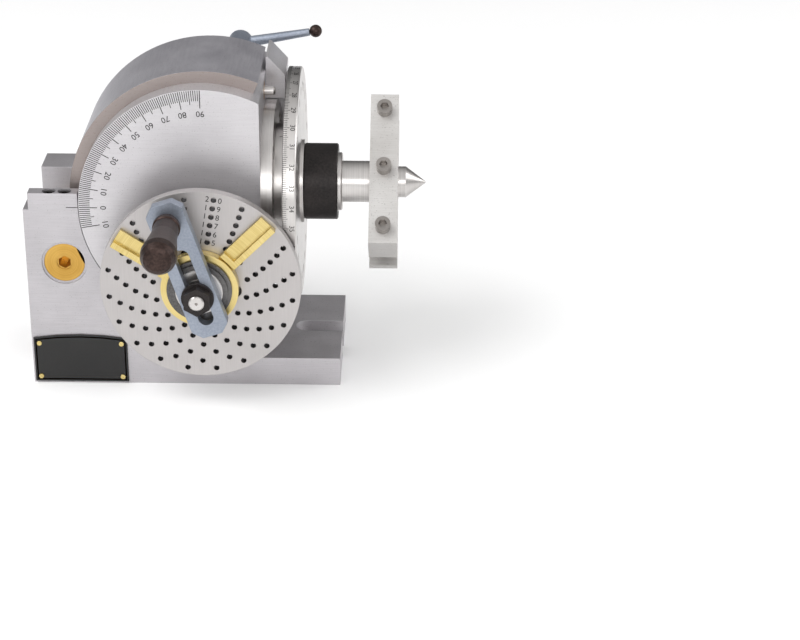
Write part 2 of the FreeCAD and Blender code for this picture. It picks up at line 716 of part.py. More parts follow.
def worm_end_plug():
    """A slotted plug that closes the worm bore at the back."""
    back = "-base_depth / 2"
    body = turned("worm_end_plug", FRONT, (
        ("0", back), ("worm_room - 1", back), ("worm_room", f"{back} + 1"),
        ("worm_room", f"{back} + end_plug_thick"), ("0", f"{back} + end_plug_thick"),
    ), z="worm_height")
    slot = rectangle(sketch(body, lift=f"{back} + end_plug_thick / 3"),
                     "-worm_room - 1", "worm_room + 1", "-1", "1")
    pocket(body, slot, "end_plug_thick / 3")
    return body


def index_plate():
    """A plate with six circles of holes, bored for the sleeve and its three screws."""
    turn = FreeCAD.Rotation(V(0, 0, 1), -number("plate_turn"))
    body = new_body("index_plate", FRONT.multiply(turn), z="worm_height")
    blank = sketch(body, lift="plate_back")
    circle(blank, "plate_radius")
    circle(blank, "sleeve_radius")
    pad(body, blank, "plate_thick")
    seat = sketch(body, lift="plate_front")
    circle(seat, "plate_screw_radius", "plate_screw_circle")
    through = pocket(body, seat, "plate_thick")
    sink_sketch = sketch(body, lift="plate_front")
    circle(sink_sketch, "plate_screw_head + side_gap / 2", "plate_screw_circle")
    sink = pocket(body, sink_sketch, "plate_thick / 2 + side_gap")
    polar(body, (through, sink), sink_sketch, "3")
    for step in range(int(number("circle_count"))):
        drawing = sketch(body, lift="plate_front")
        circle(drawing, "hole_radius", "0", f"outer_circle - {step} * circle_step")
        hole = pocket(body, drawing, "plate_thick")
        polar(body, (hole,), drawing, f"most_holes - {step}")
    return body


def sector_spring():
    """The spring washer that presses the sector arms together."""
    start = f"plate_front + side_gap + 2 * (ring_thick + side_gap)"
    return ring("sector_spring", FRONT, "sleeve_radius", "sleeve_radius + 4.5", start,
                f"{start} + spring_thick", z="worm_height")


def sector_retaining_ring():
    """A split ring in the groove of the sleeve."""
    start = (f"plate_front + side_gap + 2 * (ring_thick + side_gap) + spring_thick")
    body = ring("sector_retaining_ring", FRONT, "sleeve_radius - 1", "sleeve_radius + 2.5",
                start, f"{start} + snap_thick", z="worm_height")
    gap = rectangle(sketch(body, lift=f"{start} + snap_thick"), "-2.5", "2.5",
                    "-sleeve_radius - 4", "-sleeve_radius + 3")
    pocket(body, gap, "snap_thick")
    return body


def pin_guide_bush():
    """The bush in the flat that guides the tip of the direct index pin."""
    return ring("pin_guide_bush", AXIAL, "pin_radius + running_gap", "rack_radius",
                "flat_x - 2.5", "flat_x", z="centre_height + pin_rise")


# ------------------------------------------------------------- spindle group
def spindle():
    """The hollow spindle with journals, wheel seat, plate shoulder and nose thread."""
    body = turned("spindle", AXIAL, (
        ("drawbar_radius", "-spindle_tail"), ("tail_thread - 1", "-spindle_tail"),
        ("tail_thread", "-spindle_tail + 1"),
        ("tail_thread", "-rear_bush_end - side_gap - washer_thick"),
        ("rear_journal", "-rear_bush_end - side_gap - washer_thick"),
        ("rear_journal", "-rear_bush_x + side_gap"), ("wheel_bore", "-rear_bush_x + side_gap"),
        ("wheel_bore", "wheel_width / 2"), ("journal_radius", "wheel_width / 2"),
        ("journal_radius", "flat_x + side_gap"), ("shoulder_radius", "flat_x + side_gap"),
        ("shoulder_radius", "shoulder_end"), ("nose_thread", "shoulder_end"),
        ("nose_thread", "nose_thread_end"), ("nose_radius", "nose_thread_end"),
        ("nose_radius", "nose_end - 0.5"), ("nose_radius - 0.5", "nose_end"),
        ("centre_radius", "nose_end"), ("taper_small", "-taper_end"),
        ("drawbar_radius", "-taper_end"),
    ), z="centre_height")
    slot = rectangle(sketch(body, "XZ", "key_width / 2"), "wheel_bore - key_height / 2",
                     "wheel_bore + 1", "-wheel_width / 2", "wheel_width / 2")
    pocket(body, slot, "key_width")
    return body


def thrust_washer():
    return ring("thrust_washer", AXIAL, "rear_journal + side_gap", "nut_radius",
                "-rear_bush_end - side_gap - washer_thick", "-rear_bush_end - side_gap",
                z="centre_height")


def slotted_nut(label, order):
    """One of the two slotted nuts behind the rear bush."""
    near = f"-rear_bush_end - side_gap - washer_thick - {order} * nut_thick"
    far = f"{near} - nut_thick"
    body = ring(label, AXIAL, "tail_thread", "nut_radius", far, near, z="centre_height")
    slots = rectangle(sketch(body, lift=near), "nut_radius - 2.5", "nut_radius + 1",
                      "-2", "2")
    cut = pocket(body, slots, "nut_thick")
    polar(body, (cut,), slots, "4")
    return body


def worm_wheel():
    """A wheel whose tooth gaps lean with the lead of the worm."""
    tip = f"wheel_pitch + gear_module * 0.9"
    half = "wheel_width / 2"
    body = turned("worm_wheel", AXIAL, (
        ("wheel_bore", f"-{half}"), (f"{tip} - 1", f"-{half}"), (tip, f"-{half} + 1"),
        (tip, f"{half} - 1"), (f"{tip} - 1", half), ("wheel_bore", half),
    ), z="centre_height")
    keyway = rectangle(sketch(body, lift=half), "wheel_bore - 1",
                       "wheel_bore + key_height / 2", "-key_width / 2", "key_width / 2")
    pocket(body, keyway, "wheel_width")
    # One gap is drawn on the side that faces the worm, turned by the lead angle.
    root = f"wheel_pitch - gear_module * 1.2"
    widen = "tan(20)"
    def width(depth):
        return f"gear_module * pi / 4 + backlash / 2 + (({depth}) - wheel_pitch) * {widen}"
    over = f"{tip} + 1"
    corners = ((f"{root}", f"-({width(root)})"), (over, f"-({width(over)})"),
               (over, width(over)), (root, width(root)))
    drawing = polygon(sketch(body, "XY", "0"), *corners)
    lean = math.degrees(math.atan(number("gear_module") / (2 * number("worm_pitch"))))
    drawing.AttachmentOffset = FreeCAD.Placement(V(0, 0, 0), FreeCAD.Rotation(V(1, 0, 0), -lean))
    gap = body.newObject("PartDesign::Pocket", "worm_wheel_gap")
    gap.Profile = drawing
    gap.Type = 1
    gap.Midplane = True
    doc.recompute()
    pattern = body.newObject("PartDesign::PolarPattern", "worm_wheel_teeth")
    pattern.Originals = [gap]
    axis = [o for o in body.Origin.OriginFeatures if o.Role == "Z_Axis"][0]
    pattern.Axis = (axis, [""])
    pattern.Angle = 360
    bind(pattern, Occurrences="wheel_teeth")
    body.Tip = pattern
    doc.recompute()
    return body


def wheel_key():
    """The square key between spindle and wheel."""
    body = new_body("wheel_key", AXIAL, z="centre_height")
    section = rectangle(sketch(body, lift="-wheel_width / 2"),
                        "wheel_bore - key_height / 2", "wheel_bore + key_height / 2",
                        "-key_width / 2", "key_width / 2")
    pad(body, section, "wheel_width")
    return body


def direct_index_plate():
    """The plate on the spindle shoulder with one circle of holes."""
    end = "direct_end"
    body = turned("direct_index_plate", AXIAL, (
        ("shoulder_radius", "direct_x"), ("direct_radius - 0.6", "direct_x"),
        ("direct_radius", "direct_x + 0.6"), ("direct_radius", f"{end} - 0.6"),
        ("direct_radius - 0.6", end), ("shoulder_radius", end),
    ), z="centre_height")
    drawing = circle(sketch(body, lift=end), "pin_radius + running_gap * 2", "-direct_circle")
    hole = pocket(body, drawing, "direct_thick")
    polar(body, (hole,), drawing, "direct_holes")
    return body


def thread_protector():
    """The plain nut that covers the nose thread."""
    start = "shoulder_end"
    return turned("thread_protector", AXIAL, (
        ("nose_thread", start), ("protector_radius - 0.6", start),
        ("protector_radius", f"{start} + 0.6"), ("protector_radius", "protector_end - 0.6"),
        ("protector_radius - 0.6", "protector_end"), ("nose_thread", "protector_end"),
    ), z="centre_height")


def centre():
    """The hardened centre that sits in the taper of the spindle."""
    return turned("centre", AXIAL, (
        ("0", "-taper_end"), ("taper_small", "-taper_end"), ("centre_radius", "nose_end"),
        ("centre_radius", "dog_end"), ("cone_radius", "dog_end"), ("cone_radius", "cone_root"),
        ("tip_radius", "centre_tip"), ("0", "centre_tip"),
    ), z="centre_height")


def dog_directions():
    """Return the direction along the dog and the normal of its front face."""
    turn = math.radians(number("dog_turn"))
    return V(0, math.sin(turn), math.cos(turn)), V(0, -math.cos(turn), math.sin(turn))


def driving_dog():
    """A clamp on the centre, with an open slot at each end for a carrier tail."""
    # Local X runs along the dog, local Y points at its front face.
    along, front = dog_directions()
    body = new_body("driving_dog", FreeCAD.Rotation(along, front, V(1, 0, 0), "XYZ"),
                    z="centre_height")
    block = rectangle(sketch(body, lift="dog_x"), "-dog_length / 2", "dog_length / 2",
                      "-dog_thick / 2", "dog_thick / 2")
    pad(body, block, "dog_width")
    pocket(body, circle(sketch(body, lift="dog_end"), "centre_radius"), "dog_width")
    low = "dog_rear_leg - dog_thick / 2"
    high = f"{low} + dog_slot_width"
    for near, far in (("dog_length / 2 - dog_slot_length", "dog_length / 2 + 1"),
                      ("-dog_length / 2 - 1", "dog_slot_length - dog_length / 2")):
        pocket(body, rectangle(sketch(body, lift="dog_end"), near, far, low, high), "dog_width")
    # The XZ plane's normal is local -Y, so this pocket starts at the front face.
    middle = "dog_x + dog_width / 2"
    for distances, depth in ((("0",), "dog_thick / 2 - centre_radius / 2"),
                             (("-dog_screw_pitch", "dog_screw_pitch"),
                              "dog_thick - dog_rear_leg - dog_slot_width")):
        holes = sketch(body, "XZ", "-dog_thick / 2")
        for distance in distances:
            circle(holes, "dog_screw_radius", distance, middle)
        pocket(body, holes, depth, along_normal=True)
    return body


def dog_screws():
    """Two screws that grip the carrier tails and one that grips the centre."""
    along, front = dog_directions()
    body = new_body("dog_screws", FreeCAD.Rotation(along, V(-1, 0, 0), front, "XYZ"),
                    z="centre_height")
    face = "dog_thick / 2"
    middle = "-(dog_x + dog_width / 2)"
    past_slot = "dog_rear_leg + dog_slot_width - dog_thick / 2 - dog_screw_past"
    for distance, tip in (("-dog_screw_pitch", past_slot), ("0", "centre_radius"),
                          ("dog_screw_pitch", past_slot)):
        pad(body, circle(sketch(body, lift=tip), "dog_screw_radius", distance, middle),
            f"{face} - ({tip})")
        pad(body, circle(sketch(body, lift=face), "dog_head_radius", distance, middle),
            "dog_head_height")
        socket = hexagon(sketch(body, lift=f"{face} + dog_head_height"), "dog_head_radius",
                         distance, middle)
        pocket(body, socket, "dog_head_height * 0.7")
    return body


# --------------------------------------------------------------- crank group
def worm_shaft():
    """The shaft of the crank, cut as a single-start worm where it meets the wheel."""
    pitch_radius = number("worm_pitch")
    module = number("gear_module")
    lead = math.pi * module
    root = pitch_radius - 1.2 * module
    tip = pitch_radius + 0.9 * module
    length = number("worm_length")
    journal = number("worm_journal")
    rear_end = number("base_depth / 2 - end_plug_thick - side_gap")
    seat = number("crank_back")
    stud = number("stud_radius")
    stud_end = number("stud_end")
    profile = [(0, -rear_end), (journal - 0.5, -rear_end), (journal, 0.5 - rear_end),
               (journal, -length / 2 - 1), (root, -length / 2), (root, length / 2),
               (journal, length / 2 + 1), (journal, seat), (stud, seat),
               (stud, stud_end - 0.6), (stud - 0.6, stud_end), (0, stud_end)]
    wire = Part.makePolygon([V(r, 0, h) for r, h in profile + profile[:1]])
    core = Part.Face(wire).revolve(V(0, 0, 0), V(0, 0, 1), 360)
    # The tooth starts on the side of the wheel, at the tilt plane.
    turns = 4
    helix = Part.makeHelix(lead, turns * lead, pitch_radius)
    helix.rotate(V(0, 0, 0), V(0, 0, 1), 90)
    helix.translate(V(0, 0, -turns * lead / 2))
    half = math.pi * module / 4 - number("backlash") / 2
    slope = math.tan(math.radians(20))
    start = -turns * lead / 2
    def corner(radius, side):
        reach = half - (radius - pitch_radius) * slope
        return V(0, radius, start + side * reach)
    inner = root - 0.3
    tooth = Part.makePolygon([corner(inner, -1), corner(tip, -1), corner(tip, 1),
                              corner(inner, 1), corner(inner, -1)])
    thread = Part.Wire(helix).makePipeShell([tooth], True, True)
    shape = core.fuse(thread)
    bore = Part.makeCone(0.8, 0, 1.4, V(0, 0, stud_end), V(0, 0, -1))
    shape = shape.cut(bore).removeSplitter()
    item = doc.addObject("Part::Feature", "worm_shaft")
    item.Label = "worm_shaft"
    item.Shape = shape.Solids[0]
    place(item, FRONT, z="worm_height")
    pieces.append(item)
    return item


def crank_arm():
    """A slotted bar with cut corners, clamped to the worm shaft by its nut."""
    turn = FreeCAD.Rotation(V(0, 0, 1), number("crank_turn"))
    body = new_body("crank_arm", FRONT.multiply(turn), z="worm_height")
    half = "crank_width / 2"
    inset = "crank_width / 2 - crank_corner"
    blank = polygon(sketch(body, lift="crank_back"),
                    (f"-({inset})", "-crank_tail"), (inset, "-crank_tail"),
                    (half, "crank_corner - crank_tail"), (half, "crank_reach - crank_corner"),
                    (inset, "crank_reach"), (f"-({inset})", "crank_reach"),
                    (f"-{half}", "crank_reach - crank_corner"),
                    (f"-{half}", "crank_corner - crank_tail"))
    pad(body, blank, "crank_thick")
    front = "crank_front"
    side = "crank_slot / 2"
    slot = rectangle(sketch(body, lift=front), f"-{side}", side,
                     "crank_slot / 2 - crank_slot_down", "crank_slot_up - crank_slot / 2")
    pocket(body, slot, "crank_thick")
    ends = sketch(body, lift=front)
    circle(ends, side, "0", "crank_slot / 2 - crank_slot_down")
    circle(ends, side, "0", "crank_slot_up - crank_slot / 2")
    pocket(body, ends, "crank_thick")
    pocket(body, circle(sketch(body, lift=front), "plunger_neck", "0", "handle_radius_at"),
           "crank_thick")
    return body


def crank_washer():
    start = "crank_front"
    return ring("crank_washer", FRONT, "stud_radius", "washer_radius", start,
                f"{start} + crank_washer_thick", z="worm_height")


def crank_nut():
    """A hexagon nut with turned corners."""
    body = new_body("crank_nut", FRONT, z="worm_height")
    start = "crank_front + crank_washer_thick"
    outline = hexagon(sketch(body, lift=start), "nut_across")
    pad(body, outline, "crank_nut_thick")
    pocket(body, circle(sketch(body, lift=f"{start} + crank_nut_thick"), "stud_radius"),
           "crank_nut_thick")
    return body


def plunger_place(label, rings):
    """A turned piece on the handle axis, which the crank carries round."""
    turn = FreeCAD.Rotation(V(0, 0, 1), number("crank_turn"))
    body = new_body(label, FRONT.multiply(turn), "-handle_radius_at * sin(crank_turn)", "0",
                    f"worm_height + handle_radius_at * cos(crank_turn)")
    spin(body, rings)
    return body


def plunger_sleeve():
    """The sleeve in the crank arm; its wide upper bore holds the spring."""
    return plunger_place("plunger_sleeve", (
        ("plunger_bore", "crank_back - 2"), ("plunger_flange", "crank_back - 2"),
        ("plunger_flange", "crank_back"), ("plunger_neck", "crank_back"),
        ("plunger_neck", "sleeve_top"), ("spring_room", "sleeve_top"),
        ("spring_room", "spring_floor"),
        ("plunger_bore", "spring_floor"),
    ))


def sleeve_cap():
    """The ring that closes the spring room."""
    return plunger_place("sleeve_cap", (
        ("plunger_bore - 1", "sleeve_top"), ("plunger_neck", "sleeve_top"),
        ("plunger_neck", "sleeve_top + cap_thick"), ("plunger_bore - 1", "sleeve_top + cap_thick"),
    ))


def plunger_pin():
    """The pin that drops into a hole of the index plate."""
    tip = f"plate_front + side_gap + pin_travel"
    guide = "plunger_bore - running_gap"
    rod = "plunger_bore - 1 - running_gap"
    collar = "spring_floor + pin_travel + side_gap"
    return plunger_place("plunger_pin", (
        ("0", tip), ("pin_tip_radius - 0.3", tip), ("pin_tip_radius", f"{tip} + 0.5"),
        ("pin_tip_radius", f"{tip} + 5"), (guide, f"{tip} + 6"), (guide, collar),
        ("spring_room - running_gap", collar),
        ("spring_room - running_gap", f"{collar} + cap_thick"), (rod, f"{collar} + cap_thick"),
        (rod, "handle_end - handle_cap"), ("0", "handle_end - handle_cap"),
    ))


def plunger_spring():
    """The coil spring between the collar of the pin and the sleeve cap, as a plain tube."""
    start = "spring_floor + pin_travel + side_gap + cap_thick"
    middle = "(spring_room + plunger_bore - 1) / 2"
    return plunger_place("plunger_spring", (
        (f"{middle} - spring_wire", start), (f"{middle} + spring_wire", start),
        (f"{middle} + spring_wire", "sleeve_top"), (f"{middle} - spring_wire", "sleeve_top")))


def index_handle():
    """The turned handle that draws the pin out of the plate."""
    rod = "plunger_bore - 1 - running_gap"
    room = "plunger_neck + side_gap"
    top = "sleeve_top + cap_thick + pin_travel + side_gap"
    return plunger_place("index_handle", (
        (room, "handle_base"), ("handle_neck + 0.6", "handle_base"),
        ("handle_neck + 0.6", "handle_base + handle_length * 0.06"),
        ("handle_neck", "handle_base + handle_length * 0.08"),
        ("handle_neck + 0.3", "handle_base + handle_length * 0.33"),
        ("handle_neck + 1.2", "handle_base + handle_length * 0.52"),
        ("handle_bulb - 0.6", "handle_base + handle_length * 0.7"),
        ("handle_bulb", "handle_base + handle_length * 0.8"),
        ("handle_bulb - 0.4", "handle_base + handle_length * 0.9"),
        ("handle_bulb - 2.2", "handle_end - 1"),
        ("handle_bulb - 4", "handle_end"), ("0", "handle_end"),
        ("0", "handle_end - handle_cap"), (rod, "handle_end - handle_cap"), (rod, top),
        (room, top),
    ))


# -------------------------------------------------------------- sector group
def sector_arm(label, hub, angle, ledge, facet):
    """One sector arm: a hub ring and a straight arm with a facet beside its ledge."""
    turn = FreeCAD.Rotation(V(0, 0, 1), angle)
    body = new_body(label, FRONT.multiply(turn), z="worm_height")
    outline = sketch(body, lift=hub)
    circle(outline, "ring_radius")
    circle(outline, "sleeve_radius + running_gap")
    pad(body, outline, "ring_thick")
    root = "ring_radius + side_gap"
    bridge = rectangle(sketch(body, lift=hub), "-sector_width / 2", "sector_width / 2",
                       "sleeve_radius + 3", f"{root} + 1.5")
    pad(body, bridge, "ring_thick")
    arm = rectangle(sketch(body, lift="sector_low"), "-sector_width / 2", "sector_width / 2",
                    root, "sector_reach")
    pad(body, arm, "sector_thick")
    recess = rectangle(sketch(body, lift=f"sector_low + sector_thick"), ledge, facet,
                       f"{root} + 3", "sector_reach + 1")
    pocket(body, recess, "sector_thick / 2")
    return body


def sector_arm_right():
    """The arm on the lower ring."""
    return sector_arm("sector_arm_right", "sector_low", -number("sector_right_angle"),
                      "-sector_width / 2 - 1", "sector_width / 2 - sector_ledge")


def sector_arm_left():
    """The arm on the upper ring."""
    hub = f"sector_low + ring_thick + side_gap"
    return sector_arm("sector_arm_left", hub, number("sector_left_angle"),
                      "sector_ledge - sector_width / 2", "sector_width / 2 + 1")


# -------------------------------------------------------- direct index group
def direct_index_pin():
    """The sliding pin with a rack on its upper side."""
    body = turned("direct_index_pin", AXIAL, (
        ("0", "rack_start"), ("rack_radius", "rack_start"), ("rack_radius", "rack_end"),
        ("pin_radius", "rack_end"), ("pin_radius", "pin_tip_x - 1"),
        ("pin_radius - 0.7", "pin_tip_x"), ("0", "pin_tip_x"),
    ), z="centre_height + pin_rise")
    # Local -X is up in the spindle frame.
    flat = rectangle(sketch(body, lift="rack_end"), "-rack_radius - 1",
                     "-(rack_pitch + pinion_module * 0.6)", "-rack_radius - 1", "rack_radius + 1")
    pocket(body, flat, "rack_end - rack_start")
    pitch = "pinion_module * pi"
    middle = "pinion_x"
    drawing = sketch(body, "XZ", "rack_radius + 1")
    low = "-(rack_pitch - pinion_module * 1.2)"
    high = "-(rack_pitch + pinion_module + 0.5)"
    def half(depth):
        return f"({pitch} / 4 + pinion_backlash / 2 + ({depth}) * tan(20))"
    deep = half("-pinion_module * 1.2")
    wide = half("pinion_module + 0.5")
    for step in range(-3, 2):
        at = f"{middle} + {step} * {pitch}"
        polygon(drawing, (low, f"{at} - {deep}"), (low, f"{at} + {deep}"),
                (high, f"{at} + {wide}"), (high, f"{at} - {wide}"))
    pocket(body, drawing, "2 * rack_radius + 2")
    return body


def pin_lever_shaft():
    """The shaft that turns the pinion at its inner end."""
    body = new_body("pin_lever_shaft", FRONT, "pinion_x", "0",
                    "pinion_height")
    root = "pinion_module * (pinion_teeth / 2 - 1.1)"
    tip = "pinion_module * (pinion_teeth / 2 + 0.7)"
    half_face = "(rack_radius + side_gap)"
    inner = f"-{half_face}"
    spin(body, (("0", "-lever_hub_end + 2"), ("lever_shaft", "-lever_hub_end + 2"),
                ("lever_shaft", inner), (root, inner), (root, half_face),
                ("0", half_face)))
    wedge = sketch(body, lift=inner)
    pitch_radius = "pinion_module * pinion_teeth / 2"
    def half(radius):
        return (f"(pinion_module * pi / 4 - pinion_backlash / 2 - "
                f"(({radius}) - {pitch_radius}) * tan(24))")
    polygon(wedge, (f"-{half(root)}", f"-({root}) + 0.4"), (half(root), f"-({root}) + 0.4"),
            (half(tip), f"-({tip})"), (f"-{half(tip)}", f"-({tip})"))
    tooth = pad(body, wedge, f"2 * {half_face}")
    polar(body, (tooth,), wedge, "pinion_teeth")
    return body


def pin_lever():
    """The lever arm with its hub and ball, behind the head."""
    rise = FreeCAD.Rotation(V(0, 0, 1), number("lever_angle"))
    body = new_body("pin_lever", FRONT.multiply(rise), "pinion_x", "0",
                    "pinion_height")
    spin(body, (("lever_shaft", "-lever_hub_end + 1"),
                ("lever_hub_radius - 0.8", "-lever_hub_end + 1"),
                ("lever_hub_radius", "-lever_hub_end + 2"),
                ("lever_hub_radius", "-lever_hub_start - 1"),
                ("lever_hub_radius - 0.8", "-lever_hub_start"),
                ("lever_shaft", "-lever_hub_start")))
    # The arm is turned about local X, in the plane of the lever.
    drawing = sketch(body, "XY", "-lever_plane")
    polygon(drawing, ("lever_hub_radius - 0.5", "0"), ("lever_hub_radius - 0.5", "lever_root"),
            ("lever_length", "lever_end"), ("lever_length", "0"))
    arm = body.newObject("PartDesign::Revolution", "pin_lever_arm")
    arm.Profile = drawing
    arm.ReferenceAxis = (drawing, ["H_Axis"])
    doc.recompute()
    return body


def lever_ball():
    """The ball at the end of the lever."""
    rise = FreeCAD.Rotation(V(0, 0, 1), number("lever_angle"))
    item = doc.addObject("Part::Sphere", "lever_ball")
    item.Label = "lever_ball"
    bind(item, Radius="ball_radius")
    reach = "(lever_length + ball_radius)"
    place(item, FRONT.multiply(rise), f"pinion_x + {reach} * cos(lever_angle)", "lever_plane",
          f"pinion_height + {reach} * sin(lever_angle)")
    pieces.append(item)
    return item


def cover_screws():
    """Four socket screws through the front cover."""
    return screw_ring("cover_screws", AXIAL, "centre_height", "cover_screw_circle", "4", "45",
                      "cover_front - cover_thick / 2", "cover_front - 0.4", "flat_x")


def index_plate_screws():
    """Three socket screws that hold the index plate on the sleeve."""
    return screw_ring("index_plate_screws", FRONT, "worm_height", "plate_screw_circle", "3",
                      "-plate_turn", f"plate_front - plate_thick / 2 - side_gap",
                      f"plate_front - 0.4", "plate_back")


BUILD = (
    base_casting, zero_index_block, zero_block_screws, name_plate, name_plate_rivets,
    lambda: clamp_bush("front_clamp_bush", 1), lambda: clamp_bush("rear_clamp_bush", -1),
    clamp_bolt, head_casting, hood_band, front_cover, cover_screws, front_bearing_bush,
    rear_bearing_bush, worm_sleeve, worm_rear_bush, worm_end_plug, index_plate,
    index_plate_screws, sector_spring, sector_retaining_ring, pin_guide_bush, spindle,
    thrust_washer, lambda: slotted_nut("bearing_nut", 0),
    lambda: slotted_nut("bearing_lock_nut", 1), worm_wheel, wheel_key, direct_index_plate,
    thread_protector, centre, driving_dog, dog_screws, worm_shaft, crank_arm, crank_washer,
    crank_nut,
    plunger_sleeve, sleeve_cap, plunger_pin, plunger_spring, index_handle, sector_arm_right,
    sector_arm_left, direct_index_pin, pin_lever_shaft, pin_lever, lever_ball,
)
for make in BUILD:
    make()
doc.recompute()

faults = []
for item in doc.Objects:
    if {"Invalid", "Error"} & set(item.State):
        faults.append(f"{item.Label}: {item.State}")
for piece in pieces:
    if piece.Shape.isNull() or not piece.Shape.isValid() or not piece.Shape.Solids:
        faults.append(f"{piece.Label}: bad shape")
if faults:
    raise RuntimeError("; ".join(faults))

os.makedirs("parts", exist_ok=True)
for piece in pieces:
    piece.Shape.exportStep(f"parts/{piece.Label}.step")
    print(f"{piece.Label}: {len(piece.Shape.Solids)} solid, {piece.Shape.Volume:.0f} mm3")
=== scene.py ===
# %% [markdown]
# # Dressing a tilting dividing head
#
# A dividing head holds work between a centre and its mate, and turns it by exact
# fractions of a turn. The solids come ready made and jointed. This lesson gives them
# their metal finishes and adds what only shows on the surface: graduations, numbers and
# the gilt line of the name plate.

# %% Load the solids
import json
import math

import bmesh
import bpy
from mathutils import Matrix, Vector


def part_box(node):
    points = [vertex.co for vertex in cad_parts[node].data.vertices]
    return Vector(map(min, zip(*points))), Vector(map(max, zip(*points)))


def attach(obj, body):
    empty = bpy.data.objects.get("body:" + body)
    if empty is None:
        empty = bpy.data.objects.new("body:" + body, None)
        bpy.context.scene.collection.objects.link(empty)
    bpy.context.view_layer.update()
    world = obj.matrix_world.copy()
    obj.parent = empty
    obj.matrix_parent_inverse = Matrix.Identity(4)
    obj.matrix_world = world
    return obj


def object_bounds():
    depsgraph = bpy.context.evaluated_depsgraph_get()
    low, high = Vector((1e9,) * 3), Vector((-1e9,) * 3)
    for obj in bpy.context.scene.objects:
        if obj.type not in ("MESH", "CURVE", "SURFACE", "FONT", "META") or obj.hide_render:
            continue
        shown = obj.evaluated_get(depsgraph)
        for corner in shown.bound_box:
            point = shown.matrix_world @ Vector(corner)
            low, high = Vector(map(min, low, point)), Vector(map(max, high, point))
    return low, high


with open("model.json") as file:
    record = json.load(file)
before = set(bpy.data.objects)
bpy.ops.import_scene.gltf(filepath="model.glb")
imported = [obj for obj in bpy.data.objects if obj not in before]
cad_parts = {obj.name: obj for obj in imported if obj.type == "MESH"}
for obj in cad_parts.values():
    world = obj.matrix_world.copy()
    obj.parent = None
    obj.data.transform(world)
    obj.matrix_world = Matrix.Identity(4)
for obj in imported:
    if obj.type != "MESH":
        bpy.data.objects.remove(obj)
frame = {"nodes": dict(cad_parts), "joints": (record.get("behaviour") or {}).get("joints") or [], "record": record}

solid_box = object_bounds()
nodes = frame["nodes"]
print(len(nodes), "solids from", tuple(round(v, 4) for v in solid_box[0]), "to",
      tuple(round(v, 4) for v in solid_box[1]))

# %% [markdown]
# Every place on the object follows from its joints and from the boxes of its solids.
# The spindle's axis and the worm's axis carry almost everything, so they are read once
# and named here. Working in millimetres keeps the numbers readable.

# %% Main axes and planes
MM = 0.001
joints = {joint["name"]: joint for joint in frame["joints"]}
SPINDLE = Vector(joints["spindle_turn"]["pos_m"])
WORM = Vector((0, 0, joints["crank_turn"]["pos_m"][2]))


def low(node):
    """Lowest corner of a solid's box."""
    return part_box(node)[0]


def high(node):
    """Highest corner of a solid's box."""
    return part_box(node)[1]


DISC_FRONT = low("head_casting").y
DISC_RADIUS = (high("head_casting").z - low("head_casting").z) / 2
PLATE_FRONT = low("index_plate").y
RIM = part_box("direct_index_plate")
RIM_RADIUS = (RIM[1].z - RIM[0].z) / 2
COLLAR_RIGHT = high("front_cover").x
print("disc radius", round(DISC_RADIUS / MM, 1), "rim radius", round(RIM_RADIUS / MM, 1))

# %% [markdown]
# The camera stands in front, a little to the right of the tilt axis, and looks down at
# about a quarter of a right angle. A long lens keeps the upright edges nearly parallel,
# as in a catalogue. It aims to the right of the head, which leaves the head in the upper
# left part of the frame.

# %% Camera
CAMERA_PLACE = Vector((111.98, -1083.63, 533.69)) * MM
CAMERA_YAW = math.radians(0.614)
CAMERA_PITCH = math.radians(-25.387)
CAMERA_ROLL = math.radians(-0.356)
LENS = 99.54

camera = bpy.data.objects.new("camera", bpy.data.cameras.new("camera"))
bpy.context.scene.collection.objects.link(camera)
camera.data.lens = LENS
camera.data.clip_start = 0.01
camera.data.clip_end = 50
camera.matrix_world = (
    Matrix.Translation(CAMERA_PLACE)
    @ Matrix.Rotation(CAMERA_YAW, 4, "Z")
    @ Matrix.Rotation(CAMERA_PITCH, 4, "X")
    @ Matrix.Rotation(CAMERA_ROLL, 4, "Y")
    @ Matrix.Rotation(math.radians(90), 4, "X")
)
bpy.context.scene.camera = camera
bpy.context.scene.view_settings.view_transform = "Standard"
print("camera at", tuple(round(v, 3) for v in camera.location))

# %% [markdown]
# Finishes are written as sums. A thin class wraps a shader socket, so that plus, minus
# and times on it add Math nodes. A second class holds the nodes of one material, or of
# the surround, and adds any other node. It could all be done by linking sockets one at a
# time, but a sum reads like the idea behind it.

# %% Shader sums


class Signal:
    """A number, colour or vector on its way between two shader nodes."""

    def __init__(self, finish, socket):
        self.finish = finish
        self.socket = socket

    def math(self, operation, first, second=0.0):
        return self.finish.node("Math", {"operation": operation}, {0: first, 1: second})

    def __add__(self, other):
        return self.math("ADD", self, other)

    def __radd__(self, other):
        return self.math("ADD", other, self)

    def __sub__(self, other):
        return self.math("SUBTRACT", self, other)

    def __rsub__(self, other):
        return self.math("SUBTRACT", other, self)

    def __mul__(self, other):
        return self.math("MULTIPLY", self, other)

    def __rmul__(self, other):
        return self.math("MULTIPLY", other, self)

    def root(self):
        return self.math("SQRT", self)

    def above(self, level):
        return self.math("GREATER_THAN", self, level)


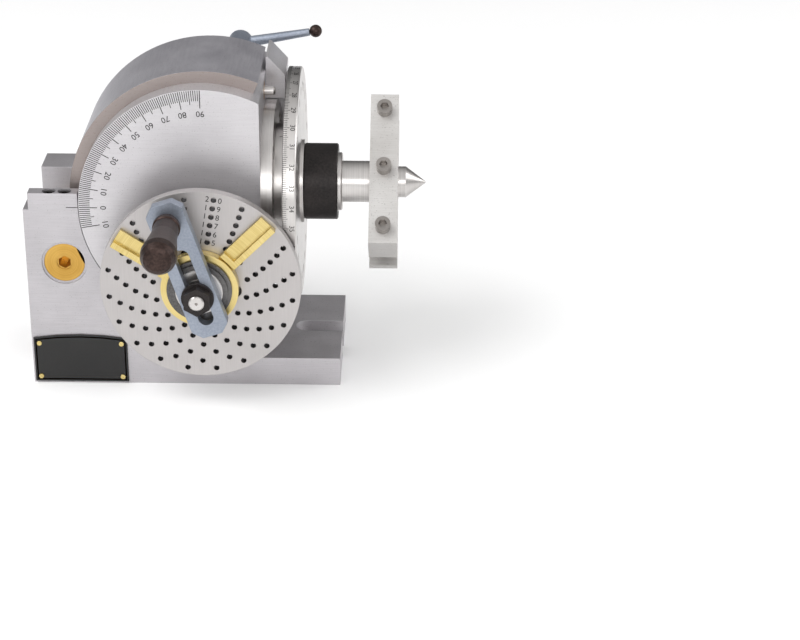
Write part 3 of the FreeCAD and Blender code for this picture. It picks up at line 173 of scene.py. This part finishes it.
class Finish:
    """The nodes of one material, or of the holder that is given."""

    def __init__(self, name, holder=None):
        self.material = holder or bpy.data.materials.new(name)
        self.material.use_nodes = True
        self.tree = self.material.node_tree
        self.shader = self.tree.nodes.get("Principled BSDF")

    def node(self, kind, settings=None, sockets=None, output=0):
        """Add a node: its settings first, then the values or links of its sockets."""
        made = self.tree.nodes.new("ShaderNode" + kind)
        for key, value in (settings or {}).items():
            if key == "stops":
                self.set_stops(made.color_ramp, value)
            else:
                setattr(made, key, value)
        for key, value in (sockets or {}).items():
            self.feed(made.inputs[key], value)
        return Signal(self, made.outputs[output])

    def set_stops(self, ramp, stops):
        """Give a ramp its (place, grey level) stops."""
        for place, level in stops[2:]:
            ramp.elements.new(place)
        for element, (place, level) in zip(sorted(ramp.elements, key=lambda e: e.position),
                                           sorted(stops)):
            element.position = place
            element.color = (level, level, level, 1)

    def feed(self, socket, value):
        """Link a signal to a socket, or set the socket's own value."""
        if isinstance(value, Signal):
            self.tree.links.new(value.socket, socket)
        else:
            socket.default_value = value

    def place(self):
        """The point of the object, in metres."""
        return self.node("TexCoord", output="Object")

    def parts(self, vector):
        """The three numbers of a vector, by letter."""
        split = self.node("SeparateXYZ", sockets={"Vector": vector})
        return {key: Signal(self, split.socket.node.outputs[key]) for key in "XYZ"}

    def facing(self):
        """The direction that the surface faces, by letter, in the object's own axes."""
        return self.parts(self.node("TexCoord", output="Normal"))

    def mapped(self, scale):
        """The point of the object, scaled for each direction."""
        return self.node("Mapping", sockets={"Vector": self.place(), "Scale": scale})

    def noise(self, scale, detail=2.0, vector=None):
        """Soft random grey with a grain size for each direction."""
        return self.node("TexNoise", sockets={
            "Vector": vector or self.mapped(scale), "Scale": 1.0, "Detail": detail,
            "Roughness": 0.5})

    def mix(self, factor, first, second):
        """Blend two colours."""
        return self.node("Mix", {"data_type": "RGBA"}, {
            "Factor": factor, 6: first, 7: second}, output=2)

    def ramp(self, value, *stops):
        """Stretch a grey between stops."""
        return self.node("ValToRGB", {"stops": stops}, {"Fac": value})

    def bump(self, height, strength, distance, normal=None):
        """Turn a height into a surface normal."""
        sockets = {"Height": height, "Strength": strength, "Distance": distance}
        if normal:
            sockets["Normal"] = normal
        return self.node("Bump", sockets=sockets)

    def soft_edge(self, radius):
        """Round off sharp edges in the shading alone."""
        return self.node("Bevel", {"samples": 4}, {"Radius": radius})

    def set(self, **sockets):
        """Feed the main shader, with underscores for the spaces in socket names."""
        for key, value in sockets.items():
            self.feed(self.shader.inputs[key.replace("_", " ")], value)
        return self.material


def paint(hue):
    """A colour written as on a paint card, in the form the shader takes."""
    parts = [int(hue[i:i + 2], 16) / 255 for i in (0, 2, 4)]
    linear = [p / 12.92 if p <= 0.04045 else ((p + 0.055) / 1.055) ** 2.4 for p in parts]
    return (*linear, 1.0)


print("shader sums ready")

# %% [markdown]
# Machined metal shows what stands round it more than it shows light, so the studio is a
# white floor, a pale surround and three large soft lamps. The lamps are wide panels, which
# give long gentle gradients on flat steel and one clean streak along each round part. The
# surround is dimmer behind the object, so that flat tops don't wash out. Lights could do
# all of this alone, but polished metal would then mirror a black room.

# %% Floor and surround


def soft_lamp(name, place, aim, width, height, power):
    """A large rectangular lamp that faces a point."""
    data = bpy.data.lights.new(name, "AREA")
    data.shape = "RECTANGLE"
    data.size, data.size_y = width, height
    data.energy = power
    lamp = bpy.data.objects.new(name, data)
    bpy.context.scene.collection.objects.link(lamp)
    lamp.location = place
    lamp.rotation_euler = (Vector(aim) - Vector(place)).to_track_quat("-Z", "Y").to_euler()
    return lamp


HEART = (solid_box[0] + solid_box[1]) / 2
soft_lamp("lamp_top_left", (-0.9, -0.5, 1.3), HEART, 1.2, 0.9, 14)
soft_lamp("lamp_front", (0.35, -1.7, 0.75), HEART, 1.4, 0.7, 9)
soft_lamp("lamp_right", (1.3, 0.2, 0.8), HEART, 0.7, 1.0, 5)


def pale_floor():
    """A pale floor that the camera sees as white away from the object's shadow."""
    bm = bmesh.new()
    bmesh.ops.create_grid(bm, x_segments=1, y_segments=1, size=6)
    mesh = bpy.data.meshes.new("floor")
    bm.to_mesh(mesh)
    bm.free()
    floor = bpy.data.objects.new("floor", mesh)
    bpy.context.scene.collection.objects.link(floor)
    finish = Finish("pale_floor")
    finish.set(Base_Color=paint("ffffff"), Roughness=0.9)
    mesh.materials.append(finish.material)
    return floor


SKY = 0.86
BEHIND_DIM = 0.75


def pale_surround():
    """White behind the object, and a soft gradient in what the metal mirrors."""
    world = bpy.data.worlds.new("surround")
    bpy.context.scene.world = world
    air = Finish("surround", world)
    way = air.parts(air.node("TexCoord", output="Generated"))
    glow = air.ramp(way["Z"], (0.0, 0.5), (0.25, 0.55), (0.7, 1.0))
    behind = way["Y"] * way["Y"].above(0.0)
    light = air.node("Background", sockets={
        "Color": glow, "Strength": SKY * (1 - behind * BEHIND_DIM)})
    seen = air.node("Background", sockets={"Color": (1, 1, 1, 1), "Strength": 1.0})
    eye = air.node("LightPath", output="Is Camera Ray")
    choice = air.node("MixShader", sockets={0: eye, 1: light, 2: seen})
    air.feed(air.tree.nodes["World Output"].inputs["Surface"], choice)


pale_floor()
pale_surround()
print("floor, surround and three lamps")

# %% [markdown]
# The castings are iron that has been ground bright: a matt silver grey with fine lines
# along the pass of the wheel, a few darker open pores, and edges broken by a file. Lines
# are noise squeezed across and stretched along; pores are the darkest crumbs of a fine
# noise; edges are rounded in the shading, because the solids have sharp ones.

# %% Ground cast iron
EDGE = 0.35 * MM


def ground_iron(name="ground_iron", shade="c9c6c9", deep="b2afb2", lines=(90, 90, 3600),
                stain=None):
    """Surface ground iron; a stain colours the faces that look at the crank side."""
    finish = Finish(name)
    strokes = finish.noise(lines, detail=3)
    clouds = finish.noise((38, 38, 38), detail=4)
    pores = finish.ramp(finish.noise((1500, 1500, 1500), detail=1), (0.27, 1), (0.33, 0))
    tone = finish.ramp(strokes * 0.4 + clouds * 0.6, (0.3, 0), (0.7, 1))
    colour = finish.mix(tone, paint(deep), paint(shade))
    colour = finish.mix(pores * 0.45, colour, paint("5d5854"))
    if stain:
        front = (0 - finish.facing()["Y"]).above(0.9)
        colour = finish.mix(front * 0.7, colour, paint(stain))
    relief = finish.bump(strokes - pores, 0.12, 0.04 * MM, finish.soft_edge(EDGE))
    return finish.set(Base_Color=colour, Metallic=0.8,
                      Roughness=0.36 + clouds * 0.16, Normal=relief)


# %% [markdown]
# Turned and ground steel carries lines that run round its axis. On the spindle that axis
# is the X direction through the spindle's centre, so the distance from the axis and the
# place along it are the two numbers that the noise reads.

# %% Turned steel
LINES_PER_METRE = 5200


def turned_steel(name, shade, deep, axis="X", centre=SPINDLE, rough=0.24, fine=1.0,
                 metal=1.0):
    """Steel with fine lines round an axis through a point."""
    finish = Finish(name)
    spot = finish.parts(finish.place())
    offsets = [spot[key] - middle for key, middle in zip("XYZ", centre)]
    along = spot[axis]
    across = [offset for key, offset in zip("XYZ", offsets) if key != axis]
    radius = (across[0] * across[0] + across[1] * across[1]).root()
    grain = LINES_PER_METRE * fine
    ring = finish.node("CombineXYZ", sockets={"X": radius * grain, "Y": along * grain})
    lines = finish.noise(None, detail=2, vector=ring)
    clouds = finish.noise((60, 60, 60), detail=3)
    tone = finish.ramp(lines * 0.6 + clouds * 0.4, (0.3, 0), (0.7, 1))
    colour = finish.mix(tone, paint(deep), paint(shade))
    relief = finish.bump(lines, 0.18, 0.03 * MM, finish.soft_edge(EDGE))
    return finish.set(Base_Color=colour, Metallic=metal, Roughness=rough + lines * 0.12,
                      Normal=relief)


# %% [markdown]
# Blackened and browned steel keeps its machining marks under a thin oxide. The oxide is
# worn a little where hands and spanners touch it, so its darkness and its gloss both
# drift slowly over the surface.

# %% Oxide finishes


def oxide(name, shade, deep, metal=0.6, rough=0.38, grain=900):
    """Steel under a thin dark oxide."""
    finish = Finish(name)
    clouds = finish.noise((45, 45, 45), detail=4)
    speckle = finish.noise((grain, grain, grain), detail=2)
    tone = finish.ramp(clouds * 0.6 + speckle * 0.4, (0.36, 0), (0.64, 1))
    colour = finish.mix(tone, paint(deep), paint(shade))
    relief = finish.bump(speckle, 0.15, 0.04 * MM, finish.soft_edge(EDGE))
    return finish.set(Base_Color=colour, Metallic=metal, Roughness=rough + clouds * 0.15,
                      Normal=relief)


# %% [markdown]
# The index plate is ground on its face in one direction and keeps a warmer tint than the
# castings. Its holes look black, because they are deep for their width and little light
# reaches their walls, so the walls are painted near black as painted shade. A wall is a
# place that doesn't face along the holes and lies inside the rim, so two tests on the
# surface find it. Separate tubes in the holes would do it too, with far more faces.

# %% Index plate steel
HOLE_ZONE = 49.5 * MM


def drilled_plate():
    """Ground steel whose small holes have their walls painted near black as painted shade."""
    finish = Finish("plate_steel")
    strokes = finish.noise((2800, 60, 60), detail=3)
    clouds = finish.noise((45, 45, 45), detail=3)
    colour = finish.mix(strokes * 0.5 + clouds * 0.5, paint("a9a5a4"), paint("c8c4c3"))
    spot = finish.parts(finish.place())
    across, up = spot["X"] - WORM.x, spot["Z"] - WORM.z
    inside = 1 - (across * across + up * up).root().above(HOLE_ZONE)
    slope = finish.facing()["Y"]
    # Hole walls: painted shade, coloured near black (141212) and without metal sheen.
    painted_hole_shade = inside * (1 - (slope * slope).above(0.25))
    relief = finish.bump(strokes, 0.1, 0.03 * MM, finish.soft_edge(EDGE))
    return finish.set(Base_Color=finish.mix(painted_hole_shade, colour, paint("141212")),
                      Metallic=0.8 * (1 - painted_hole_shade), Roughness=0.38 + clouds * 0.14,
                      Normal=relief)


# %% [markdown]
# The sector arms are yellow brass, milled flat and left bright. The clamp bushes are a
# redder brass. Each solid takes the finish of its slot. A few share a slot with solids of
# another tint, such as the driving dog, and take a finish of their own. The head casting
# takes a lighter copy of the ground iron: painted light, for the light that falls brighter
# on the head than on the base.

# %% Finishes for every slot
MATERIALS = {
    "ground_cast_iron": ground_iron(),
    "plate_steel": drilled_plate(),
    "bright_steel": turned_steel("bright_steel", "dbd8d6", "b9b5b2"),
    "black_oxide": oxide("black_oxide", "35302f", "1d1a1a"),
    "black_plate": oxide("black_plate", "171615", "0d0c0c", metal=0.0, rough=0.25),
    "brass": turned_steel("brass", "e3d092", "c4ad6a", "Y", WORM, 0.25, 0.5),
    "bronze": turned_steel("bronze", "c79a58", "a87c40"),
    "spring_steel": oxide("spring_steel", "6f6d6c", "4a4847", metal=0.9, rough=0.3),
    "blue_grey_steel": oxide("blue_grey_steel", "9fa6b2", "868d9a", metal=0.75, rough=0.36),
    "dark_steel": oxide("dark_steel", "4d3d38", "2a211f", metal=0.8, rough=0.32),
}
# Some solids share a slot but not its exact tint; the head casting's lighter iron is
# painted light.
TINTS_AND_PAINTED_LIGHT = {
    # Painted light: a lighter copy of the ground iron, for the light that falls on the head.
    "painted_light_iron": ground_iron("painted_light_iron", "d8d6d8", "c6c3c6"),
    "browned_band": ground_iron("browned_band", "c6c4c9", "adabb2", (90, 90, 3600), "8f8075"),
    "warm_brass": turned_steel("warm_brass", "d9b060", "ad8238", "Y",
                               high("front_clamp_bush") * 0.5 + low("front_clamp_bush") * 0.5),
    "pale_dog": ground_iron("pale_dog", "cfcdcb", "b9b6b3"),
    "turned_screw": turned_steel("turned_screw", "a9a4a0", "7b7672"),
}
# The finish of each solid that doesn't take its slot's; the head casting's is painted light.
OWN_FINISH_OF = {
    "head_casting": "painted_light_iron", "hood_band": "browned_band", "driving_dog": "pale_dog",
    "dog_screws": "turned_screw", "front_clamp_bush": "warm_brass",
    "rear_clamp_bush": "warm_brass", "clamp_bolt": "warm_brass",
}
slots = {part["node"]: part["material_slot"] for part in frame["record"]["subparts"]}
for name, solid in nodes.items():
    solid.data.materials.clear()
    tint = TINTS_AND_PAINTED_LIGHT.get(OWN_FINISH_OF.get(name)) or MATERIALS[slots[name]]
    solid.data.materials.append(tint)
print(len(MATERIALS), "finishes on", len(nodes), "solids")

# %% [markdown]
# New pieces are built in a bmesh, given their finish and tied to a body, so that each
# turns with the solid that it is cut or laid on. Lines are thin blocks, and figures are
# flat letters with a little thickness. Painting them as an image would be quicker, but
# their edges would be soft close up.

# %% Finishing a piece


INK = 0.05 * MM


def lay_piece(bm, name, body, look):
    """Make an object of thin trim, give it a look and tie it to a body."""
    mesh = bpy.data.meshes.new(name)
    bmesh.ops.recalc_face_normals(bm, faces=bm.faces)
    bm.to_mesh(mesh)
    bm.free()
    piece = bpy.data.objects.new(name, mesh)
    bpy.context.scene.collection.objects.link(piece)
    mesh.materials.append(MATERIALS[look])
    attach(piece, body)
    print(name, "has", len(mesh.polygons), "faces")


def bar(bm, length, width, height, matrix):
    """A small block with its near end at the origin of the matrix, along local Y."""
    made = bmesh.ops.create_cube(bm, size=1)
    shape = (Matrix.Translation((0, length / 2, 0))
             @ Matrix.Diagonal((width, length, height, 1)))
    bmesh.ops.transform(bm, matrix=matrix @ shape, verts=made["verts"])


def words(bm, text, size, matrix):
    """Flat figures, centred on the matrix's origin."""
    curve = bpy.data.curves.new("figures", "FONT")
    curve.body = text
    curve.size = size
    curve.align_x = "CENTER"
    curve.align_y = "CENTER"
    curve.extrude = 0.01 * MM
    curve.resolution_u = 3
    holder = bpy.data.objects.new("figures", curve)
    bpy.context.scene.collection.objects.link(holder)
    bpy.context.view_layer.update()
    graph = bpy.context.evaluated_depsgraph_get()
    mesh = bpy.data.meshes.new_from_object(holder.evaluated_get(graph))
    mesh.transform(matrix)
    bm.from_mesh(mesh)
    bpy.data.meshes.remove(mesh)
    bpy.data.objects.remove(holder)
    bpy.data.curves.remove(curve)


# %% [markdown]
# The tilt scale is cut into the front disc: a line for every degree from ten below level
# to ninety, longer at the fives and longest at the tens, with the figures inside them and
# their feet outwards. Cut lines filled with dark paint look like thin dark bars set just
# proud of the face, and that is how they are made here.

# %% Tilt scale
# Every so many degrees: how long a line is and how wide.
TILT_LINES = ((10, 9.4 * MM, 0.42 * MM), (5, 7.4 * MM, 0.36 * MM), (1, 5.6 * MM, 0.36 * MM))
TILT_FIRST, TILT_LAST = -10, 90
TILT_FIGURE = 4.4 * MM
TILT_FIGURE_INSET = 12.6 * MM
EDGE_INSET = 0.3 * MM


def line_size(degree, table):
    """Length and width of a scale's line at a degree."""
    return next(sizes for every, *sizes in table if degree % every == 0)


def ink_finish():
    """Dark paint in an engraved line."""
    finish = Finish("ink")
    clouds = finish.noise((800, 800, 800))
    return finish.set(Base_Color=finish.mix(clouds, paint("0c0b0b"), paint("1c1a19")),
                      Roughness=0.7)


MATERIALS["ink"] = ink_finish()


def face_matrix(centre, y, angle, radius):
    """Local Y points to the centre of a front face, from a point at an angle on it."""
    place = Vector((centre.x - radius * math.cos(angle), y,
                    centre.z + radius * math.sin(angle)))
    return (Matrix.Translation(place) @ Matrix.Rotation(math.pi / 2, 4, "X")
            @ Matrix.Rotation(-math.pi / 2 - angle, 4, "Z"))


def tilt_scale():
    """Lines and figures of the tilt scale."""
    lines = bmesh.new()
    figures = bmesh.new()
    for degree in range(TILT_FIRST, TILT_LAST + 1):
        angle = math.radians(degree)
        length, width = line_size(degree, TILT_LINES)
        spot = face_matrix(SPINDLE, DISC_FRONT, angle, DISC_RADIUS - EDGE_INSET)
        bar(lines, length, width, 2 * INK, spot)
        if degree % 10 == 0:
            spot = face_matrix(SPINDLE, DISC_FRONT - INK, angle, DISC_RADIUS - TILT_FIGURE_INSET)
            words(figures, str(abs(degree)), TILT_FIGURE, spot)
    lay_piece(lines, "tilt_scale_lines", "head", "ink")
    lay_piece(figures, "tilt_scale_figures", "head", "ink")


tilt_scale()

# %% [markdown]
# The direct index plate has a line for every degree on its rim, read against one line on
# the collar, with the tens stamped beside them. The figures run round the rim, so each one
# is turned about the spindle's axis from the same first place.

# %% Scale of the direct index plate


def rim_matrix(angle, x, lift):
    """A place on the rim, local Y along the spindle and local Z outwards."""
    return (Matrix.Translation(SPINDLE) @ Matrix.Rotation(angle, 4, "X")
            @ Matrix.Translation((x, 0, RIM_RADIUS + lift))
            @ Matrix.Rotation(-math.pi / 2, 4, "Z"))


RIM_TURN = 2
RIM_FIRST = 26
RIM_LINES = ((10, 3.2 * MM, 0.26 * MM), (5, 2.6 * MM, 0.26 * MM), (1, 2.0 * MM, 0.26 * MM))
RIM_LINE_INSET = 0.2 * MM
RIM_FIGURE = 3.6 * MM
RIM_FIGURE_INSET = 4.8 * MM


def rim_scale():
    """Lines and figures of the direct index plate."""
    lines = bmesh.new()
    figures = bmesh.new()
    for degree in range(360):
        angle = math.radians(degree + RIM_TURN)
        length, width = line_size(degree, RIM_LINES)
        bar(lines, length, width, 2 * INK, rim_matrix(angle, RIM[0].x + RIM_LINE_INSET, 0))
        if degree % 10 == 0:
            tens = (RIM_FIRST + degree // 10) % 36
            spot = rim_matrix(angle, RIM[0].x + RIM_FIGURE_INSET, INK)
            words(figures, str(tens), RIM_FIGURE, spot)
    lay_piece(lines, "rim_scale_lines", "spindle", "ink")
    lay_piece(figures, "rim_scale_figures", "spindle", "ink")


rim_scale()

# %% [markdown]
# Two single lines give the readings: one on the collar for the rim scale, and one on the
# small block at the left wall for the tilt scale.

# %% Zero lines
COLLAR_RADIUS = 30.4 * MM
COLLAR_LINE_TURN = math.radians(20)
COLLAR_LINE = (3.5 * MM, 0.3 * MM)
BLOCK_LINE = (6 * MM, 0.35 * MM)
BLOCK_LINE_RISE = 1.4 * MM


def zero_lines():
    """The two reading lines."""
    collar = bmesh.new()
    spot = (Matrix.Translation(SPINDLE + Vector((COLLAR_RIGHT, 0, 0)))
            @ Matrix.Rotation(COLLAR_LINE_TURN, 4, "X")
            @ Matrix.Translation((0, 0, COLLAR_RADIUS))
            @ Matrix.Rotation(math.pi / 2, 4, "Z"))
    bar(collar, *COLLAR_LINE, 2 * INK, spot)
    lay_piece(collar, "collar_zero_line", "head", "ink")
    block = bmesh.new()
    corner = Vector((high("zero_index_block").x, low("zero_index_block").y,
                     low("zero_index_block").z + BLOCK_LINE_RISE))
    spot = (Matrix.Translation(corner) @ Matrix.Rotation(math.pi / 2, 4, "X")
            @ Matrix.Rotation(math.pi / 2, 4, "Z"))
    bar(block, *BLOCK_LINE, 2 * INK, spot)
    lay_piece(block, "tilt_zero_line", "base", "ink")


zero_lines()

# %% [markdown]
# The index plate carries six circles of holes. The number of holes in each circle is
# stamped beside its first hole, with the tens on one side and the units on the other.

# %% Figures of the index plate
PLATE_TURN = math.radians(9.7)
OUTER_CIRCLE, CIRCLE_STEP, CIRCLE_COUNT = 47.1, 4.62, 6
MOST_HOLES = 20
CIRCLES = [(OUTER_CIRCLE - CIRCLE_STEP * step, MOST_HOLES - step)
           for step in range(CIRCLE_COUNT)]
COUNT_FIGURE = 4.2 * MM
COUNT_SPREAD = 3.2 * MM


def plate_figures():
    """The hole counts, stamped beside the first hole of each circle."""
    figures = bmesh.new()
    turn = (Matrix.Translation(Vector((WORM.x, PLATE_FRONT - INK, WORM.z)))
            @ Matrix.Rotation(math.pi / 2, 4, "X") @ Matrix.Rotation(-PLATE_TURN, 4, "Z"))
    for radius, holes in CIRCLES:
        for digit, side in zip(str(holes), (-1, 1)):
            words(figures, digit, COUNT_FIGURE,
                  turn @ Matrix.Translation((side * COUNT_SPREAD, radius * MM, 0)))
    lay_piece(figures, "plate_figures", "head", "ink")


plate_figures()

# %% [markdown]
# The name plate stays bare. It is a black plate with a gilt line round its edge, and the
# line follows the edge at a small distance. It is the plate's outline drawn twice, each
# time a little smaller, with the strip between them filled and given a thickness.

# %% Border of the name plate


def gilt_finish():
    """Gilt line on the name plate."""
    finish = Finish("gilt")
    clouds = finish.noise((300, 300, 300), detail=3)
    return finish.set(Base_Color=finish.mix(clouds, paint("c9ad7c"), paint("ecd6a6")),
                      Metallic=0.3, Roughness=0.35)


MATERIALS["gilt"] = gilt_finish()


BORDER_INSETS = (0.9 * MM, 1.6 * MM)
# The plate's outline: share of its length, and drop below its highest point.
PLATE_OUTLINE = ((0, None), (1, None), (1, 2 * MM), (0.75, 0.5 * MM), (0.5, 0),
                 (0.25, 0.5 * MM), (0, 2 * MM))


def name_plate_border():
    """A thin gilt frame just inside the edge of the plate."""
    corner, far = low("name_plate"), high("name_plate")
    middle = (corner + far) / 2
    bm = bmesh.new()
    loops = []
    for inset in BORDER_INSETS:
        shrink = [1 - 2 * inset / (far[k] - corner[k]) for k in (0, 2)]
        loop = []
        for share, drop in PLATE_OUTLINE:
            x = corner.x + share * (far.x - corner.x)
            z = corner.z if drop is None else far.z - drop
            loop.append(bm.verts.new((middle.x + (x - middle.x) * shrink[0], corner.y - INK,
                                      middle.z + (z - middle.z) * shrink[1])))
        loops.append(loop)
    outer, inner = loops
    for i in range(len(outer)):
        j = (i + 1) % len(outer)
        bm.faces.new((outer[i], outer[j], inner[j], inner[i]))
    bmesh.ops.solidify(bm, geom=bm.faces, thickness=2 * INK)
    lay_piece(bm, "name_plate_border", "base", "gilt")


name_plate_border()
